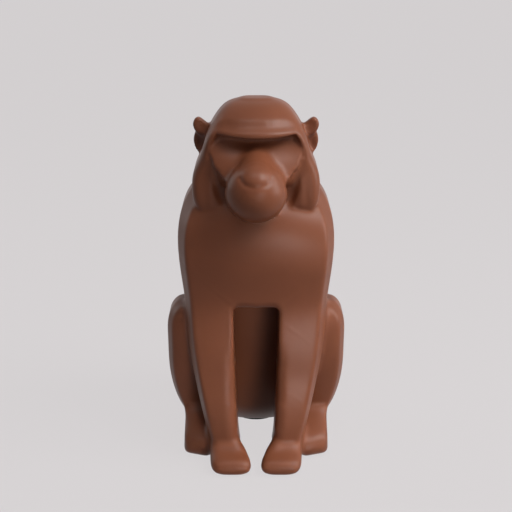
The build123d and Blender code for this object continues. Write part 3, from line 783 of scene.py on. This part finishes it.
def felt_tree():
    """Discs with a fibrous side, one for each point of the mesh that the tree is given."""
    tree = bpy.data.node_groups.new("felt_discs", "GeometryNodeTree")
    face = tree.interface
    face.new_socket("Points", in_out="INPUT", socket_type="NodeSocketGeometry")
    for label, value in DISC_INPUTS:
        face.new_socket(label, in_out="INPUT", socket_type="NodeSocketFloat").default_value = value
    face.new_socket("Seed", in_out="INPUT", socket_type="NodeSocketInt").default_value = DEFAULT_SEED
    face.new_socket("Material", in_out="INPUT", socket_type="NodeSocketMaterial")
    face.new_socket("Discs", in_out="OUTPUT", socket_type="NodeSocketGeometry")

    def add(kind, **settings):
        node = tree.nodes.new(kind)
        for key, value in settings.items():
            node.inputs[key.replace("_", " ")].default_value = value
        return node

    link = tree.links.new
    given = tree.nodes.new("NodeGroupInput")
    disc = add("GeometryNodeMeshCylinder", Vertices=DISC_CORNERS, Side_Segments=1)
    link(given.outputs["Radius"], disc.inputs["Radius"])
    link(given.outputs["Thickness"], disc.inputs["Depth"])
    scatter = add("GeometryNodeDistributePointsOnFaces")
    link(disc.outputs["Mesh"], scatter.inputs["Mesh"])
    link(disc.outputs["Side"], scatter.inputs["Selection"])
    link(given.outputs["Fibres per Area"], scatter.inputs["Density"])
    link(given.outputs["Seed"], scatter.inputs["Seed"])
    fibre = add("GeometryNodeMeshCone", Vertices=FIBRE_SIDES, Radius_Bottom=FIBRE_RADIUS)
    link(given.outputs["Fibre Length"], fibre.inputs["Depth"])
    turn = tree.nodes.new("FunctionNodeAlignRotationToVector")
    link(scatter.outputs["Normal"], turn.inputs["Vector"])
    jitter = add("FunctionNodeRandomValue")
    jitter.data_type = "FLOAT_VECTOR"
    jitter.inputs["Min"].default_value = (-FIBRE_TILT, -FIBRE_TILT, -FIBRE_TWIST)
    jitter.inputs["Max"].default_value = (FIBRE_TILT, FIBRE_TILT, FIBRE_TWIST)
    link(given.outputs["Seed"], jitter.inputs["Seed"])
    lean = tree.nodes.new("FunctionNodeRotateRotation")
    lean.rotation_space = "LOCAL"
    link(turn.outputs["Rotation"], lean.inputs["Rotation"])
    link(jitter.outputs["Value"], lean.inputs["Rotate By"])
    fibres = tree.nodes.new("GeometryNodeInstanceOnPoints")
    link(scatter.outputs["Points"], fibres.inputs["Points"])
    link(fibre.outputs["Mesh"], fibres.inputs["Instance"])
    link(lean.outputs["Rotation"], fibres.inputs["Rotation"])
    both = tree.nodes.new("GeometryNodeJoinGeometry")
    link(disc.outputs["Mesh"], both.inputs["Geometry"])
    link(fibres.outputs["Instances"], both.inputs["Geometry"])
    one = tree.nodes.new("GeometryNodeGeometryToInstance")
    link(both.outputs["Geometry"], one.inputs["Geometry"])
    copies = tree.nodes.new("GeometryNodeInstanceOnPoints")
    link(given.outputs["Points"], copies.inputs["Points"])
    link(one.outputs["Instances"], copies.inputs["Instance"])
    plain = tree.nodes.new("GeometryNodeRealizeInstances")
    link(copies.outputs["Instances"], plain.inputs["Geometry"])
    coat = tree.nodes.new("GeometryNodeSetMaterial")
    link(plain.outputs["Geometry"], coat.inputs["Geometry"])
    link(given.outputs["Material"], coat.inputs["Material"])
    out = tree.nodes.new("NodeGroupOutput")
    link(coat.outputs["Geometry"], out.inputs["Discs"])
    return tree


recipe = felt_tree()
print("recipe with", len(recipe.nodes), "nodes")


# %% Set the pads under the figure
PAD_NODES = ("hand_pads", "foot_pads", "rump_pad")
FIRST_SEED = 3


def pads(name, seed):
    """Felt discs where the CAD node has its own, of the same radius and thickness."""
    node = nodes[name]
    points = values_of(node.data.vertices, "co", 3).astype(float)
    sides = [points] if name == "rump_pad" else [points[points[:, 0] < 0], points[points[:, 0] > 0]]
    middles = [(side.min(0) + side.max(0)) / 2 for side in sides]
    size = sides[0].max(0) - sides[0].min(0)
    base = bpy.data.meshes.new("points_of_" + name)
    base.from_pydata([tuple(middle) for middle in middles], [], [])
    holder = bpy.data.objects.new("felt_" + name, base)
    bpy.context.scene.collection.objects.link(holder)
    step = holder.modifiers.new("felt", "NODES")
    step.node_group = recipe
    values = {"Radius": float(size[0] / 2), "Thickness": float(size[2]), "Seed": seed, "Material": felt}
    for item in recipe.interface.items_tree:
        if item.in_out == "INPUT" and item.name in values:
            step[item.identifier] = values[item.name]
    made = evaluated(holder)
    holder.modifiers.remove(step)
    holder.data = made
    bpy.data.meshes.remove(base)
    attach(holder, "root")
    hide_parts(name)
    print(name, len(middles), "discs,", len(made.polygons), "faces")


for seed, name in enumerate(PAD_NODES, start=FIRST_SEED):
    pads(name, seed)

# %% [markdown]
# ## Floor and backdrop
# The ornament was photographed on a seamless sheet of pale grey paper. A sheet as pale as that would throw
# a lot of light back up under the chin and the chest. In the picture these stay dark, so the floor here is
# a middle grey that catches the shadow, and a pale glow over it is seen by the camera, by shiny surfaces
# and through glass only. The world behind it does the same.

# %% Floor
PALE = (0.672, 0.645, 0.651)
FLOOR_GREY = (0.22, 0.21, 0.21)
FLOOR_GLOW = (0.772, 0.742, 0.749)
GLOW_SHARE = 0.83
FLOOR_HALF, FLOOR_ROUGHNESS = 6, 0.9
BACKGROUND_RAYS = ("Is Camera Ray", "Is Glossy Ray", "Is Transmission Ray")


def looked_at(nodes, links):
    """1 for a ray that looks at the background: from the camera, off a shiny surface or through glass."""
    path = nodes.new("ShaderNodeLightPath")
    total = None
    for kind in BACKGROUND_RAYS:
        step = nodes.new("ShaderNodeMath")
        step.operation = "MAXIMUM"
        links.new(path.outputs[kind], step.inputs[0])
        step.inputs[1].default_value = 0.0
        if total is not None:
            links.new(total.outputs["Value"], step.inputs[1])
        total = step
    return total


signs = ((-1, -1), (1, -1), (1, 1), (-1, 1))
floor_mesh = bpy.data.meshes.new("floor")
floor_mesh.from_pydata([(FLOOR_HALF * x, FLOOR_HALF * y, 0) for x, y in signs], [], [(0, 1, 2, 3)])
floor = bpy.data.objects.new("floor", floor_mesh)
bpy.context.scene.collection.objects.link(floor)
floor_material, tree_nodes, links, shader = new_material("pale_floor", PALE)
shader.inputs["Base Color"].default_value = (*FLOOR_GREY, 1)
shader.inputs["Roughness"].default_value = FLOOR_ROUGHNESS
glow = tree_nodes.new("ShaderNodeEmission")
glow.inputs["Color"].default_value = (*FLOOR_GLOW, 1)
mix = tree_nodes.new("ShaderNodeMixShader")
share = tree_nodes.new("ShaderNodeMath")
share.operation = "MULTIPLY"
share.inputs[1].default_value = GLOW_SHARE
seen = looked_at(tree_nodes, links)
links.new(seen.outputs["Value"], share.inputs[0])
links.new(share.outputs["Value"], mix.inputs["Fac"])
links.new(shader.outputs["BSDF"], mix.inputs[1])
links.new(glow.outputs["Emission"], mix.inputs[2])
links.new(mix.outputs["Shader"], tree_nodes["Material Output"].inputs["Surface"])
floor_mesh.materials.append(floor_material)
print("floor", 2 * FLOOR_HALF, "m wide")

# %% World
AMBIENT, AMBIENT_STRENGTH = (0.9, 0.9, 0.9), 0.02

scene = bpy.context.scene
scene.view_settings.view_transform = "Standard"
world = bpy.data.worlds.new("studio")
scene.world = world
world.use_nodes = True
tree = world.node_tree
background = tree.nodes["Background"]
background.inputs["Color"].default_value = (*AMBIENT, 1)
background.inputs["Strength"].default_value = AMBIENT_STRENGTH
backdrop = tree.nodes.new("ShaderNodeBackground")
backdrop.inputs["Color"].default_value = (*PALE, 1)
world_mix = tree.nodes.new("ShaderNodeMixShader")
world_seen = looked_at(tree.nodes, tree.links)
tree.links.new(world_seen.outputs["Value"], world_mix.inputs["Fac"])
tree.links.new(background.outputs["Background"], world_mix.inputs[1])
tree.links.new(backdrop.outputs["Background"], world_mix.inputs[2])
tree.links.new(world_mix.outputs["Shader"], tree.nodes["World Output"].inputs["Surface"])
print("world made")

# %% [markdown]
# ## Lamps
# The picture's main light is a soft one from the front right and above: it makes the highlights on the
# muzzle and the chest and lays the head's shadow under the chin. A tall lamp at the right brightens the
# knee and the flank. A weaker one from the left and above keeps the dark side open, a narrow beam low in
# front reaches the forelegs and the belly between them, and one from behind draws the thin bright line down
# the left side.

# %% Lamps
LAMP_DISTANCE = 1.1
FULL_SPREAD = 180


def softbox(name, turn, lift, width, height, power, target=AIM.z, spread=FULL_SPREAD):
    """A lamp round the figure: turn 0 is in front of it, lift 90 above it, in degrees. It looks at the target
    height, and its beam is narrower with a smaller spread."""
    data = bpy.data.lights.new(name, "AREA")
    data.shape = "RECTANGLE"
    data.size = width
    data.size_y = height
    data.energy = power
    data.spread = math.radians(spread)
    lamp = bpy.data.objects.new(name, data)
    scene.collection.objects.link(lamp)
    across, up = math.radians(turn), math.radians(lift)
    away = Vector((math.sin(across) * math.cos(up), -math.cos(across) * math.cos(up), math.sin(up)))
    lamp.location = AIM + LAMP_DISTANCE * away
    ahead = Vector((AIM.x, AIM.y, target)) - lamp.location
    lamp.rotation_euler = ahead.to_track_quat("-Z", "Y").to_euler()


softbox("key", 50, 50, 0.4, 0.5, 9.2)
softbox("top", -15, 65, 0.4, 0.4, 2.0)
softbox("side", 80, 22, 0.4, 0.9, 9.0)
softbox("low front", 18, 2, 0.4, 0.15, 0.17, target=0.02, spread=26)
softbox("rim", -120, 25, 0.3, 0.8, 1.4)
print("lamps made")
